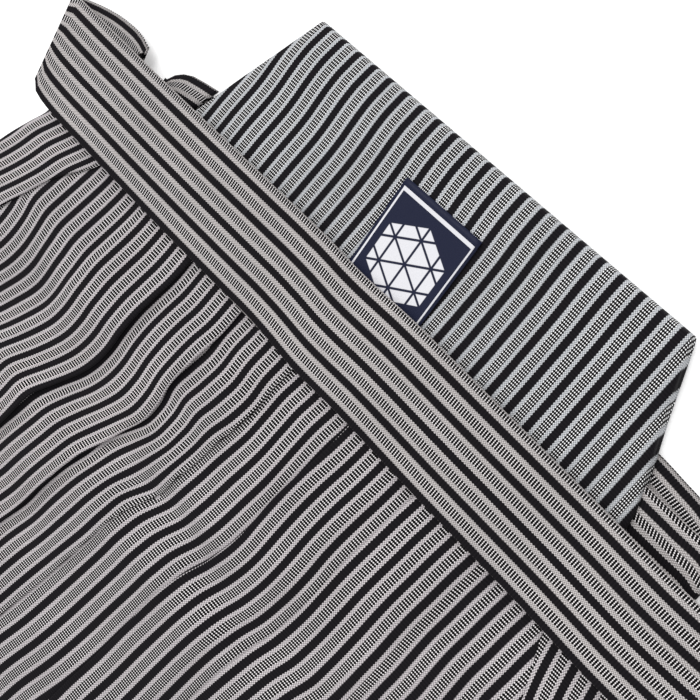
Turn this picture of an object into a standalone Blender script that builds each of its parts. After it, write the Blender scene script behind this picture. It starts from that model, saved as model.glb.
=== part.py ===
"""Hakama trousers laid flat on a surface, front side up.

The pleated front lies on the plain back. The front himo crosses the waist, over the front's top
edge and over the base of the koshi-ita, the stiff board of the back. X runs along the waist, Y up
the garment and Z up from the surface it lies on. Sizes are in millimetres and become metres when
the meshes are made.
"""

import math
from collections import namedtuple

import bmesh
import bpy
from mathutils import Matrix, Vector

MM = 0.001

# Walls and the space between walls that lie on each other
CLOTH = 1.0
HIMO = 1.1
GAP = 0.3
CLOTH_STEP = CLOTH + GAP
HIMO_STEP = HIMO + GAP

# The garment point that the origin lies under: the middle of the whole outline
ORIGIN_X = -7.5
ORIGIN_Y = -400.1

# Heights of the lowest layers' middles over the surface
BACK_MIDDLE = CLOTH / 2
FRONT_MIDDLE = BACK_MIDDLE + CLOTH_STEP

# Lengths along the garment, from the front himo's lower edge
FRONT_TOP = 14.0
BACK_TOP = 17.5
SLIT_END = -280.0
HEM = -900.0

# The whole cloth as it lies, a row for each section from the waist to the hem. up is the place
# along the garment, lean the shift of the legs to -X, lift the height of the soft waves. The
# others are distances from the centre line: side is the front's side edge, fold the edge of the
# bamboo-leaf fold, outer and inner the knife pleats' edges, back the side edge of the back.
Row = namedtuple("Row", "up lean lift left_side left_fold left_outer left_inner "
                        "right_inner right_outer right_fold right_side left_back right_back")
ROWS = [
    Row(FRONT_TOP, 0, 1.8, 152, 117, 59, 28, 28, 59, 118, 152, 105, 125),
    Row(3, 0, 1.8, 152, 118, 59, 28, 28, 59, 119, 152, 109, 127),
    Row(-14, 1, 2.3, 160, 128, 61, 29, 28, 60, 127, 160, 116, 133),
    Row(-34, 3.5, 2.6, 168, 138, 63, 30, 29, 62, 137, 168, 124, 139),
    Row(-58, 7, 1.4, 177, 147, 66, 32, 31, 65, 147, 177, 134, 147),
    Row(-76, 10.5, 0.2, 184, 154, 69, 34, 32, 67, 154, 184, 142, 154),
    Row(-92, 14.5, 3.8, 190, 160, 71, 36, 34, 70, 160, 190, 149, 160),
    Row(-116, 20, 3.0, 198, 169, 75, 39, 36, 73, 169, 198, 160, 169),
    Row(-150, 27, 0.6, 209, 182, 80, 43, 39, 78, 182, 209, 176, 182),
    Row(-190, 35, 2.6, 221, 197, 87, 48, 44, 85, 197, 221, 194, 196),
    Row(-235, 42, 0.8, 234, 216, 95, 53, 49, 93, 216, 234, 213, 214),
    Row(SLIT_END, 47, 1.6, 246, 239, 102, 57, 54, 100, 239, 246, 236, 236),
    Row(-340, 51, 0.4, 259, 0, 110, 62, 59, 108, 0, 259, 253, 253),
    Row(-420, 53, 1.2, 274, 0, 121, 68, 65, 118, 0, 274, 268, 268),
    Row(-510, 53, 0.0, 289, 0, 132, 74, 71, 129, 0, 289, 283, 283),
    Row(-610, 52, 0.8, 303, 0, 144, 80, 77, 141, 0, 303, 297, 297),
    Row(-710, 50, 0.0, 316, 0, 155, 85, 82, 151, 0, 316, 310, 310),
    Row(-810, 48, 0.5, 327, 0, 165, 89, 86, 161, 0, 327, 321, 321),
    Row(HEM, 46, 0.0, 336, 0, 173, 92, 89, 168, 0, 336, 330, 330),
]

# Hidden depth of each pleat at the waist and at the hem
Depth = namedtuple("Depth", "waist hem")
OUTER_DEPTH = Depth(24, 62)
INNER_DEPTH = Depth(17, 50)
CENTRE_DEPTH = Depth(14, 42)
RAMP = 10.0
FOLD_MARGIN = 2.0
SEAM_TURN = 3.5

# The koshi-ita: a stiff trapezoid, turned a little from the waist line
BOARD_THICKNESS = 5.2
BOARD_UNDERSIDE = HIMO + GAP
BOARD_HEIGHT = 81.0
BOARD_TOP_HALF = 79.6
BOARD_BASE_HALF = 117.3
BOARD_CENTRE = (12.8, 99.0)
BOARD_TURN = math.radians(0.6)
BOARD_CORNER = 2.5
BOARD_EDGE = 1.4

# The label lies on the board and goes under the front himo
LABEL_WIDTH = 34.5
LABEL_LENGTH = 47.0
LABEL_TOP = (9.0, 77.5)
LABEL_TURN = math.radians(1.6)

# The front himo, at its level over the waist, and the folded tail beside the waist
BAND_LEVEL = 6
TAIL_NEAR = 172.0
TAIL_FAR = 366.0
TAIL_END = 352.0
BACK_HIMO_LEVEL = 2

# One crossing of a strap: the places of its lower and upper edge, and its level over the surface
Station = namedtuple("Station", "low_x low_y high_x high_y level")
RETURN_RUN = [
    Station(-20, 3.5, -20, 43, 5),
    Station(-62, 3.8, -60, 43.6, 5),
    Station(-100, 4.5, -98, 45.6, 5),
    Station(-121, 5.5, -118, 49, 5),
    Station(-136, 6.5, -133, 51, 5),
    Station(-148, 7, -148, 50.5, 5),
    Station(-156.5, 6.4, -159.5, 48.6, 5),
]
BAND_RUN = [
    Station(-156.5, 5.6, -159.5, 46.8, 6),
    Station(-120, 5.2, -120, 46, 6),
    Station(-60, 4.4, -60, 46, 6),
    Station(0, 4.2, 0, 46.6, 6),
    Station(60, 4.6, 60, 47.2, 6),
    Station(120, 4.6, 120, 47, 6),
    Station(165, 4.8, 165, 46.8, 6),
]
# Each back himo starts at the board's side, between these places along the garment
LEFT_HIMO_SEAM = (20, 54)
RIGHT_HIMO_SEAM = (22, 58)
LEFT_BACK_HIMO = [
    Station(-110, 20, -97, 53, 2),
    Station(-112, 20, -104.6, 50, 2),
    Station(-112, 20.4, -104.6, 49, 0),
    Station(-96, 21, -92, 52, 0),
    Station(-60, 22, -60, 55, 0),
    Station(0, 22, 0, 55, 0),
]
RIGHT_BACK_HIMO = [
    Station(134, 22, 125, 57.8, 2),
    Station(141.6, 22, 140, 57, 2),
    Station(141.6, 23, 140, 59, 0),
    Station(133, 27, 131, 63.8, 0),
    Station(118, 30, 116, 66.2, 0),
    Station(90, 31, 90, 67, 0),
    Station(30, 31, 30, 67, 0),
]


def clear_scene():
    """Take every object out of the scene."""
    for item in list(bpy.data.objects):
        bpy.data.objects.remove(item, do_unlink=True)


def make_material(name, colour, roughness):
    """Return a Principled material of one colour."""
    material = bpy.data.materials.new(name)
    material.use_nodes = True
    shader = material.node_tree.nodes["Principled BSDF"]
    shader.inputs["Base Color"].default_value = (*colour, 1.0)
    shader.inputs["Roughness"].default_value = roughness
    shader.inputs["Metallic"].default_value = 0.0
    material.diffuse_color = (*colour, 1.0)
    return material


def new_object(name, mesh, material, collection):
    """Make an object whose mesh is in garment millimetres, placed over the origin in metres."""
    mesh.transform(Matrix.Scale(MM, 4))
    mesh.materials.append(material)
    item = bpy.data.objects.new(name, mesh)
    item.location = (-ORIGIN_X * MM, -ORIGIN_Y * MM, 0.0)
    collection.objects.link(item)
    return item


def sheet(name, rows, thickness, material, collection):
    """Make a cloth wall round a grid of points, a list of rows of equal length.

    The points are the wall's middle, and Solidify gives it its thickness.
    """
    across = len(rows[0])
    shell = bmesh.new()
    bmesh.ops.create_grid(shell, x_segments=across - 1, y_segments=len(rows) - 1, size=1.0)
    shell.verts.ensure_lookup_table()
    for place, point in enumerate(point for row in rows for point in row):
        shell.verts[place].co = Vector(point)
    bmesh.ops.recalc_face_normals(shell, faces=shell.faces)
    mesh = bpy.data.meshes.new(name)
    shell.to_mesh(mesh)
    shell.free()
    item = new_object(name, mesh, material, collection)
    mesh.shade_smooth()
    wall = item.modifiers.new("cloth wall", "SOLIDIFY")
    wall.thickness = thickness * MM
    wall.offset = 0.0
    wall.use_even_offset = True
    return item


def half_turn(centre, radius, middle, way):
    """Points inside a fold's half turn from one layer down to the next.

    way is -1 where the fold's edge points to smaller distances from the centre line, 1 outwards.
    """
    points = []
    for angle in (60, 120):
        turn = math.radians(angle)
        points.append((centre + way * radius * math.sin(turn), middle + radius * math.cos(turn)))
    return points


def depth_at(depth, up):
    """Return a pleat's hidden depth at a place along the garment."""
    share = (FRONT_TOP - up) / (FRONT_TOP - HEM)
    return depth.waist + (depth.hem - depth.waist) * share


def rise_over(edge, depth, base):
    """Points where a layer climbs over the hidden fold under it and runs to its own edge."""
    top = base + 2 * CLOTH_STEP
    turn = CLOTH_STEP / 2
    return [(edge + depth + RAMP, base), (edge + depth + RAMP / 2, base + CLOTH_STEP),
            (edge + depth + turn + CLOTH, top), (edge + depth / 2, top), (edge + turn, top)]


def knife_pleat(edge, depth, base):
    """Points of one knife pleat whose edge faces the centre, from outside to inside."""
    turn = CLOTH_STEP / 2
    middle = base + CLOTH_STEP
    points = rise_over(edge, depth, base)
    points += half_turn(edge + turn, turn, middle + turn, -1)
    points += [(edge + turn, middle), (edge + depth / 2, middle), (edge + depth, middle)]
    points += half_turn(edge + depth, turn, base + turn, 1)
    points += [(edge + depth, base), (edge + depth / 2, base), (edge + turn, base)]
    return points


def centre_pleat(depth, base):
    """Points of the centre pleat, whose cloth is turned under and ends at the centre seam."""
    turn = CLOTH_STEP / 2
    middle = base + CLOTH_STEP
    points = rise_over(0, depth, base)
    points += half_turn(turn, turn, middle + turn, -1)
    points += [(turn, middle), (depth / 2, middle), (depth, middle)]
    return points


def side_strip(row, left):
    """Points across the front's side, from its edge on the surface up to the bamboo-leaf fold's edge.

    Below the slit the fold has run out, and the side turns down round the back panel's edge.
    """
    side = row.left_side if left else row.right_side
    fold = (row.left_fold if left else row.right_fold) or side - SEAM_TURN
    base = FRONT_MIDDLE + row.lift
    points = []
    for share in (0, 0.25, 0.5, 0.75, 1):
        distance = side + (fold - side) * share
        climbed = (side - distance) / (side - fold + FOLD_MARGIN)
        points.append((distance, BACK_MIDDLE + (base - BACK_MIDDLE) * climbed))
    return points


def front_section(row, left):
    """One cross-section of a front panel as distances from the centre line and heights."""
    outer = row.left_outer if left else row.right_outer
    inner = row.left_inner if left else row.right_inner
    base = FRONT_MIDDLE + row.lift
    ramp = outer + depth_at(OUTER_DEPTH, row.up) + RAMP
    points = side_strip(row, left)
    level = points[-1][0] - FOLD_MARGIN
    points += [(ramp + (level - ramp) * share, base) for share in (1, 0.66, 0.33)]
    points += knife_pleat(outer, depth_at(OUTER_DEPTH, row.up), base)
    points += knife_pleat(inner, depth_at(INNER_DEPTH, row.up), base)
    under = depth_at(CENTRE_DEPTH, row.up)
    if left:
        points += centre_pleat(under, base)
    else:
        points += [(inner * share, base) for share in (0.66, 0.33)]
        points += [(0, base), (-under, base)]
    return points


def front_panel(name, left, material, collection):
    """Make one front panel with its knife pleats, folded from the waist to the hem."""
    way = -1 if left else 1
    rows = [[(way * distance - row.lean, row.up, height) for distance, height in front_section(row, left)]
            for row in ROWS]
    return sheet(name, rows, CLOTH, material, collection)


def side_fold(name, left, material, collection):
    """Make the bamboo-leaf fold, the front's side edge turned back on it down to the slit's end."""
    way = -1 if left else 1
    rows = []
    for row in ROWS:
        if row.up < SLIT_END:
            break
        rows.append([(way * distance - row.lean, row.up, height + CLOTH_STEP)
                     for distance, height in side_strip(row, left)])
    return sheet(name, rows, CLOTH, material, collection)


def back_panel(name, left, material, collection):
    """Make one back panel, flat on the surface from the board's base to the hem."""
    way = -1 if left else 1
    rows = []
    for row in ROWS:
        up = BACK_TOP if row.up == FRONT_TOP else row.up
        back = row.left_back if left else row.right_back
        rows.append([(way * (GAP / 2 + (back - GAP / 2) * share) - row.lean, up, BACK_MIDDLE)
                     for share in (1, 0.75, 0.5, 0.25, 0)])
    return sheet(name, rows, CLOTH, material, collection)


def level_height(level):
    """Height of a strap's middle that lies on the given number of layers of strap."""
    return HIMO / 2 + HIMO_STEP * level


def fold_over(before, after):
    """Stations round a strap's fold from one run's last station to the next run's first."""
    outwards = 1 if before.low_x > 0 else -1
    if abs(before.low_x - TAIL_NEAR) < 1:
        outwards = -1
    radius = HIMO_STEP * abs(after.level - before.level) / 2
    stations = []
    for share in (1 / 6, 1 / 3, 2 / 3, 5 / 6):
        turn = math.pi * share
        reach = outwards * radius * math.sin(turn)
        mix = (1 - math.cos(turn)) / 2
        stations.append(Station(before.low_x + reach, before.low_y + (after.low_y - before.low_y) * mix,
                                before.high_x + reach, before.high_y + (after.high_y - before.high_y) * mix,
                                before.level + (after.level - before.level) * mix))
    return stations


def strap(name, runs, material, collection):
    """Make a folded strap from its runs, each a list of stations, with a fold between runs."""
    stations = list(runs[0])
    for run in runs[1:]:
        stations += fold_over(stations[-1], run[0]) + list(run)
    rows = []
    for station in stations:
        low = Vector((station.low_x, station.low_y, level_height(station.level)))
        high = Vector((station.high_x, station.high_y, level_height(station.level)))
        rows.append([low, low.lerp(high, 0.5), high])
    return sheet(name, rows, HIMO, material, collection)


def tail_runs():
    """The front himo's tail, folded to and fro beside the waist down to the surface."""
    runs = []
    for level in range(BAND_LEVEL, -1, -1):
        outwards = (BAND_LEVEL - level) % 2 == 0
        start, end = (TAIL_NEAR, TAIL_FAR) if outwards else (TAIL_FAR, TAIL_NEAR)
        if level == 0:
            end = TAIL_END
        slip = 0.5 * (level % 3 - 1)
        runs.append([Station(start + (end - start) * share, 4.9 + slip,
                             start + (end - start) * share, 46.7 + slip, level)
                     for share in (0, 0.33, 0.67, 1)])
    return runs


def board_side(up, way):
    """Return the place along X of the board's left (-1) or right (1) side."""
    down = BOARD_CENTRE[1] - up
    half = BOARD_TOP_HALF + (BOARD_BASE_HALF - BOARD_TOP_HALF) * down / BOARD_HEIGHT
    return BOARD_CENTRE[0] + down * math.tan(BOARD_TURN) + way * half


def back_himo(name, way, seam, run, material, collection):
    """Make a back himo from its seam on the board's side, folded back under the board."""
    low, high = seam
    clear = way * 2 * GAP
    start = Station(board_side(low, way) + clear, low, board_side(high, way) + clear, high, BACK_HIMO_LEVEL)
    over = [start] + [station for station in run if station.level == BACK_HIMO_LEVEL]
    under = [station for station in run if station.level == 0]
    return strap(name, [over, under], material, collection)


def koshi_ita(name, material, collection):
    """Make the stiff back board: a trapezoid plate with rounded corners and edges."""
    plate = bmesh.new()
    outline = [(-BOARD_TOP_HALF, 0), (-BOARD_BASE_HALF, -BOARD_HEIGHT),
               (BOARD_BASE_HALF, -BOARD_HEIGHT), (BOARD_TOP_HALF, 0)]
    corners = [plate.verts.new((x, y, 0.0)) for x, y in outline]
    bmesh.ops.contextual_create(plate, geom=corners)
    grown = bmesh.ops.extrude_face_region(plate, geom=plate.faces[:])
    raised = [item for item in grown["geom"] if isinstance(item, bmesh.types.BMVert)]
    bmesh.ops.translate(plate, vec=(0, 0, BOARD_THICKNESS), verts=raised)
    upright = [edge for edge in plate.edges if abs(edge.verts[0].co.z - edge.verts[1].co.z) > 1]
    bmesh.ops.bevel(plate, geom=upright, offset=BOARD_CORNER, segments=3, profile=0.5, affect="EDGES")
    rims = [edge for edge in plate.edges if abs(edge.verts[0].co.z - edge.verts[1].co.z) < 0.01]
    bmesh.ops.bevel(plate, geom=rims, offset=BOARD_EDGE, segments=2, profile=0.5, affect="EDGES")
    bmesh.ops.recalc_face_normals(plate, faces=plate.faces)
    bmesh.ops.rotate(plate, cent=(0, 0, 0), matrix=Matrix.Rotation(BOARD_TURN, 3, "Z"), verts=plate.verts)
    bmesh.ops.translate(plate, vec=(*BOARD_CENTRE, BOARD_UNDERSIDE), verts=plate.verts)
    mesh = bpy.data.meshes.new(name)
    plate.to_mesh(mesh)
    plate.free()
    item = new_object(name, mesh, material, collection)
    mesh.shade_smooth()
    mesh.set_sharp_from_angle(angle=math.radians(35))
    return item


def woven_label(name, material, collection):
    """Make the label, a small flat piece on the board's inside."""
    height = BOARD_UNDERSIDE + BOARD_THICKNESS + GAP + CLOTH / 2
    turn = Matrix.Rotation(LABEL_TURN, 3, "Z")
    rows = []
    for share in (0, 0.5, 1):
        row = []
        for side in (-0.5, 0, 0.5):
            point = turn @ Vector((LABEL_WIDTH * side, -LABEL_LENGTH * share, 0))
            row.append((LABEL_TOP[0] + point.x, LABEL_TOP[1] + point.y, height))
        rows.append(row)
    return sheet(name, rows, CLOTH, material, collection)


def main():
    """Build every piece of the hakama."""
    clear_scene()
    garment = bpy.data.collections.new("hakama")
    bpy.context.scene.collection.children.link(garment)
    stripes = make_material("striped_cloth", (0.20, 0.195, 0.20), 0.85)
    board = make_material("board_cloth", (0.22, 0.22, 0.235), 0.85)
    strap_cloth = make_material("himo_cloth", (0.18, 0.175, 0.18), 0.82)
    woven = make_material("label_weave", (0.025, 0.035, 0.09), 0.6)

    front_panel("front_left", True, stripes, garment)
    front_panel("front_right", False, stripes, garment)
    side_fold("side_fold_left", True, stripes, garment)
    side_fold("side_fold_right", False, stripes, garment)
    back_panel("back_left", True, stripes, garment)
    back_panel("back_right", False, stripes, garment)
    koshi_ita("koshi_ita", board, garment)
    strap("front_himo", [RETURN_RUN, BAND_RUN + tail_runs()[0]] + tail_runs()[1:], strap_cloth, garment)
    back_himo("back_himo_left", -1, LEFT_HIMO_SEAM, LEFT_BACK_HIMO, strap_cloth, garment)
    back_himo("back_himo_right", 1, RIGHT_HIMO_SEAM, RIGHT_BACK_HIMO, strap_cloth, garment)
    woven_label("label", woven, garment)


main()
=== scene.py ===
"""The looks of a pair of hakama trousers laid flat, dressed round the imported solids.

Garment sizes are in millimetres: X runs along the waist from the centre pleat, Y up the garment from
the front himo's lower edge, and Z up from the surface. They become metres, over the frame's origin,
when a mesh is made.
"""

import logging
import math
from dataclasses import dataclass, field
from enum import Enum

import bmesh
import bpy
import numpy as np
from bpy.types import Material, Node, NodeSocket, NodeTree, Object
from mathutils import Matrix, Vector


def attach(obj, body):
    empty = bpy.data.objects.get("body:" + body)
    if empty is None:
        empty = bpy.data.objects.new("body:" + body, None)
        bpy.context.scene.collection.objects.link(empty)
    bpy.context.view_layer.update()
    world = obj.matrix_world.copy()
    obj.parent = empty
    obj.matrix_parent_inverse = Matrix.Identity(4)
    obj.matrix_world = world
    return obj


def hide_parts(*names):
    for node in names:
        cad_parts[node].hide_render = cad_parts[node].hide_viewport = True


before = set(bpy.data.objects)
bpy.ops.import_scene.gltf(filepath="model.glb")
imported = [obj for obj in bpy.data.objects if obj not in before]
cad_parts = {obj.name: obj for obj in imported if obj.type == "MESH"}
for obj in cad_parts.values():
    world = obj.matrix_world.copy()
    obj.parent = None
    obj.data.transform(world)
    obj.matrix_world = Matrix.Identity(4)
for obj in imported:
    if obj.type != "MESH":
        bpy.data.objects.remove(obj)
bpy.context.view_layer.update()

MM = 0.001
ORIGIN = (-7.5, -400.1)
BODY = "root"

# How near two points of a seam are to be joined, in metres
WELD = 0.00002

# The nap of the cloth, in bumps a metre
NAP_SCALE = 2600.0

# Walls of the cloth and the height from one layer of it to the next
CLOTH_WALL = 0.6
LAYER = 0.85
BACK_MIDDLE = 0.3
FRONT_MIDDLE = 1.45
HIMO_WALL = 1.1
HIMO_LAYER = 1.4

FRONT_TOP = 14.0
BACK_TOP = 17.5
SLIT_END = -280.0
HEM = -900.0

Array = np.ndarray
log = logging.getLogger("hakama")


class Slot(Enum):
    """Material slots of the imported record."""

    STRIPED = "striped_cloth"
    BOARD = "board_cloth"
    HIMO = "himo_cloth"
    LABEL = "label_weave"


# Sections across the laid cloth. up is a section's place along the garment and lift the height of
# the soft waves. The rest are places along X: the sides' edges, the bamboo-leaf folds' edges, the
# edges of the five pleats from left to right, and the back panels' sides.
SECTION_COLUMNS = "up lift side_l fold_l p1 p2 p3 p4 p5 fold_r side_r back_l back_r"
SECTIONS = [
    (14, 1.8, -152, -113, -58.2, -30.0, -1.0, 28.6, 61.6, 117, 152, -105, 125),
    (0, 1.8, -153, -117, -59.4, -31.0, -2.0, 27.6, 60.4, 119, 153, -109, 127),
    (-10, 2.1, -159, -126, -61.0, -31.9, -3.4, 26.7, 59.3, 123.5, 158, -115, 130),
    (-20, 2.4, -165, -134, -63.1, -33.8, -3.6, 25.4, 58.6, 128, 163, -120, 133),
    (-30, 2.6, -170, -140, -65.2, -35.7, -5.2, 23.9, 57.7, 131, 166, -125, 136),
    (-40, 2.4, -174, -146, -66.7, -37.3, -8.0, 22.6, 56.8, 135, 168, -130, 138),
    (-50, 1.8, -179, -152, -67.8, -37.4, -10.4, 21.8, 56.2, 138, 170, -135, 140),
    (-60, 1.3, -184, -157, -70.6, -38.9, -12.4, 20.8, 55.6, 141, 172, -141, 142),
    (-70, 0.6, -190, -162, -75.2, -43.6, -14.8, 18.9, 54.3, 143, 174, -147, 143),
    (-80, 0.8, -196, -168, -81.0, -47.9, -17.6, 16.2, 52.7, 144, 175, -154, 144),
    (-90, 3.0, -203, -174, -86.2, -51.9, -22.0, 12.8, 50.4, 145, 176, -162, 145),
    (-100, 3.8, -209, -179, -88.6, -55.3, -25.2, 10.5, 48.6, 146, 177, -168, 146),
    (-115, 3.1, -217, -188, -92.8, -59.3, -28.6, 7.7, 46.4, 148, 178, -178, 148),
    (-130, 1.8, -225, -196, -98.6, -63.5, -32.2, 6.0, 44.1, 150, 180, -188, 150),
    (-150, 0.7, -236, -209, -107.2, -69.5, -37.0, 2.8, 40.8, 153, 182, -202, 154),
    (-170, 1.5, -247, -221, -114.6, -76.0, -41.5, 0.0, 38.0, 157, 185, -215, 157),
    (-195, 2.6, -257, -234, -123.5, -83.5, -46.5, -2.8, 37.0, 162, 187, -230, 160),
    (-235, 0.8, -276, -258, -137, -94.0, -52.5, -3.0, 39.5, 174, 192, -254, 171),
    (SLIT_END, 1.6, -293, -286, -149, -103, -56, -0.5, 44.5, 192, 199, -282, 188),
    (-340, 0.4, -310, 0, -162, -112, -58, 3.5, 52.5, 0, 208, -303, 201),
    (-420, 1.2, -327, 0, -175, -121, -57, 10, 63, 0, 221, -320, 214),
    (-510, 0.2, -342, 0, -186, -127, -55, 17, 75, 0, 236, -335, 229),
    (-610, 0.8, -355, 0, -197, -132, -53, 25, 89, 0, 251, -348, 244),
    (-710, 0.2, -366, 0, -206, -135, -51, 32, 101, 0, 266, -359, 259),
    (-810, 0.6, -375, 0, -214, -137, -49, 38, 113, 0, 279, -368, 272),
    (HEM, 0.0, -382, 0, -220, -138, -47, 43, 122, 0, 290, -375, 283),
]

# The stripes across the same sections. Each stretch of cloth between two pleats, from left to
# right, has the place of one black stripe and the distance to the next; so have the leaf folds.
STRIPE_COLUMNS = "up leaf_l a a_step b b_step c c_step d d_step e e_step f f_step leaf_r"
STRIPES = [
    (14, -113.3, -67.4, 8.1, -35.0, 8.0, -5.0, 8.1, 4.0, 8.2, 37.9, 8.2, 63.8, 8.3, 121.5),
    (0, -121.2, -68.4, 8.2, -36.3, 8.0, -6.0, 8.1, 3.0, 8.2, 37.0, 8.2, 62.7, 8.3, 124.3),
    (-10, -127.8, -69.8, 8.45, -37.4, 8.0, -7.2, 8.2, 1.3, 8.25, 35.9, 8.3, 61.6, 8.4, 126.8),
    (-20, -132.6, -72.1, 8.6, -39.8, 7.95, -7.2, 8.3, 0.7, 8.15, 34.4, 8.5, 60.8, 8.5, 130),
    (-30, -138.5, -74.4, 8.7, -41.5, 8.1, -8.9, 8.55, 0.1, 8.15, 33.2, 8.6, 59.9, 8.6, 134),
    (-40, -145.2, -75.8, 8.55, -42.8, 8.05, -12.3, 8.2, -2.2, 8.75, 32.3, 8.7, 59.1, 8.8, 138),
    (-50, -151.2, -77.0, 8.65, -43.1, 8.25, -14.5, 7.25, -4.6, 9.1, 31.6, 8.95, 58.6, 8.95, 141),
    (-60, -157, -80.0, 8.7, -44.8, 8.5, -16.4, 7.15, -6.5, 9.25, 31.0, 8.9, 58.1, 9.0, 143),
    (-70, -163, -84.5, 8.8, -49.6, 8.25, -18.8, 8.35, -8.7, 9.45, 29.5, 8.95, 56.9, 9.25, 146),
    (-80, -169, -90.2, 8.7, -54.7, 8.55, -22.2, 9.2, -11.7, 9.45, 26.9, 9.35, 55.3, 9.55, 148),
    (-90, -176, -95.7, 8.7, -59.1, 8.7, -26.8, 8.35, -15.6, 9.65, 23.8, 9.5, 53.0, 9.5, 149),
    (-100, -182, -98.1, 9.0, -62.0, 8.7, -28.9, 8.85, -17.9, 9.8, 21.9, 9.5, 51.4, 9.6, 150),
    (-115, -190, -102.3, 9.3, -66.7, 8.85, -32.5, 9.25, -21.0, 9.9, 19.1, 9.7, 49.1, 9.8, 152),
    (-130, -198, -108.0, 9.2, -71.1, 9.1, -36.8, 9.0, -24.3, 10.1, 16.7, 10.0, 46.8, 9.9, 154),
    (-150, -209, -116.8, 9.2, -78.2, 9.4, -42.2, 9.5, -28.6, 10.5, 14.1, 10.3, 43.6, 10.2, 157),
    (-170, -220, -124, 9.2, -85.4, 9.4, -46.6, 9.5, -32.6, 10.7, 11.5, 10.6, 40.8, 10.4, 160),
    (-195, -230, -133, 9.2, -92.5, 9.2, -51.2, 9.5, -38.8, 10.7, 9.0, 10.6, 39.8, 10.4, 163),
    (-235, -249, -147, 9.3, -103.5, 9.4, -57, 9.6, -44.5, 10.5, 8.7, 10.4, 42.3, 10.2, 169),
    (SLIT_END, -266, -159.5, 9.4, -112.5, 9.5, -61, 9.6, -47.5, 10.2, 10.8, 10.2, 47.2, 10.0, 176),
    (-340, -283, -172.5, 9.4, -121.5, 9.5, -63, 9.6, -49, 9.9, 14.4, 9.9, 55.2, 9.8, 185),
    (-420, -300, -185.5, 9.4, -130.5, 9.5, -62, 9.6, -48, 9.7, 20.7, 9.7, 65.6, 9.6, 198),
    (-510, -315, -196.5, 9.4, -136.5, 9.5, -60, 9.6, -46, 9.6, 27.6, 9.6, 77.6, 9.6, 213),
    (-610, -328, -207.5, 9.4, -141.5, 9.5, -58, 9.5, -44, 9.5, 35.5, 9.5, 91.6, 9.5, 228),
    (-710, -339, -216.5, 9.4, -144.5, 9.5, -56, 9.5, -42, 9.5, 42.4, 9.4, 103.5, 9.4, 243),
    (-810, -348, -224.5, 9.4, -146.5, 9.5, -54, 9.5, -40, 9.5, 48.4, 9.4, 115.5, 9.4, 256),
    (HEM, -355, -230.5, 9.4, -147.5, 9.5, -52, 9.5, -38, 9.5, 53.4, 9.4, 124.5, 9.4, 267),
]

# Hidden depth of each pleat at the waist and at the hem, and the slope up to its top layer
OUTER_DEPTH = (24.0, 62.0)
INNER_DEPTH = (17.0, 50.0)
CENTRE_DEPTH = (14.0, 42.0)
RAMP = 10.0
FOLD_MARGIN = 2.0
SEAM_TURN = 3.5

# How far in from a pleat's edge it stands up off the cloth under it, and where that cloth's own
# stripes begin
GAPE_REACH = 6.0
TUCK = 5.4

# Share of a fold's turn that the stripes count, as the weave crowds inside it
TURN_TAKES = 0.5

# Steps of a half turn of cloth, and how columns crowd towards a pleat's edge
FOLD_ANGLES = np.radians(np.arange(30, 180, 30))
CROWD = 1.6

# Where the pleats stand up most along the garment, and over which length
GAPE_PLACES = ((-32, 20), (-104, 36))

# How much closer the centre pleat's layers lie at its edge
CENTRE_PRESSED = 0.22

# Rows of the front: their spacing where creases are small, how far down it goes, and the rows below
ROW_STEP = 2.6
CLOSE_ROWS_END = -212.0
LOWER_ROWS = 112

# A crease's bend to either side, how fast it sways along itself and its share that fades at each
# end; how far below the himo creases begin, over which length they grow, and over which they fade
# at the hem
CREASE_BEND = 2.0
CREASE_WAVE = 5.0
CREASE_FADE = 0.25
CREASES_BEGIN = 2.0
CREASES_GROW = 14.0
HEM_FADE = 60.0


def eased(knots: Array, values: Array, places: Array) -> Array:
    """Run a smooth curve through points of a table.

    Args:
        knots: where the table's values stand, rising.
        values: the table's values.
        places: where the curve is wanted.

    Returns:
        The curve's value at each place.
    """
    slopes = np.gradient(values, knots)
    spot = np.clip(np.searchsorted(knots, places, side="right") - 1, 0, len(knots) - 2)
    span = knots[spot + 1] - knots[spot]
    t = np.clip((places - knots[spot]) / span, 0, 1)
    return ((2 * t**3 - 3 * t**2 + 1) * values[spot] + (t**3 - 2 * t**2 + t) * span * slopes[spot]
            + (3 * t**2 - 2 * t**3) * values[spot + 1] + (t**3 - t**2) * span * slopes[spot + 1])


def soft_step(value: Array) -> Array:
    """Return a smooth rise from 0 to 1 as value goes from 0 to 1."""
    t = np.clip(value, 0, 1)
    return t * t * (3 - 2 * t)


class Laying:
    """A table of sections as smooth curves along the garment."""

    def __init__(self, names: str, rows: list[tuple]) -> None:
        """Keep the rows' columns as arrays by name."""
        self.columns = dict(zip(names.split(), np.array(rows, float).T))
        self.down = -self.columns["up"]

    def close_slits(self) -> None:
        """Below the slits the cloth's sides turn in at a plain seam, where no leaf fold lies."""
        for fold, side in (("fold_l", "side_l"), ("fold_r", "side_r")):
            gone = self.columns[fold] == 0
            inward = -np.sign(self.columns[side])
            self.columns[fold][gone] = (self.columns[side] + inward * SEAM_TURN)[gone]

    def at(self, name: str, ups: Array) -> Array:
        """Return one column of the table at places along the garment."""
        return eased(self.down, self.columns[name], -ups)


LAYING = Laying(SECTION_COLUMNS, SECTIONS)
LAYING.close_slits()
STRIPING = Laying(STRIPE_COLUMNS, STRIPES)


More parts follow.
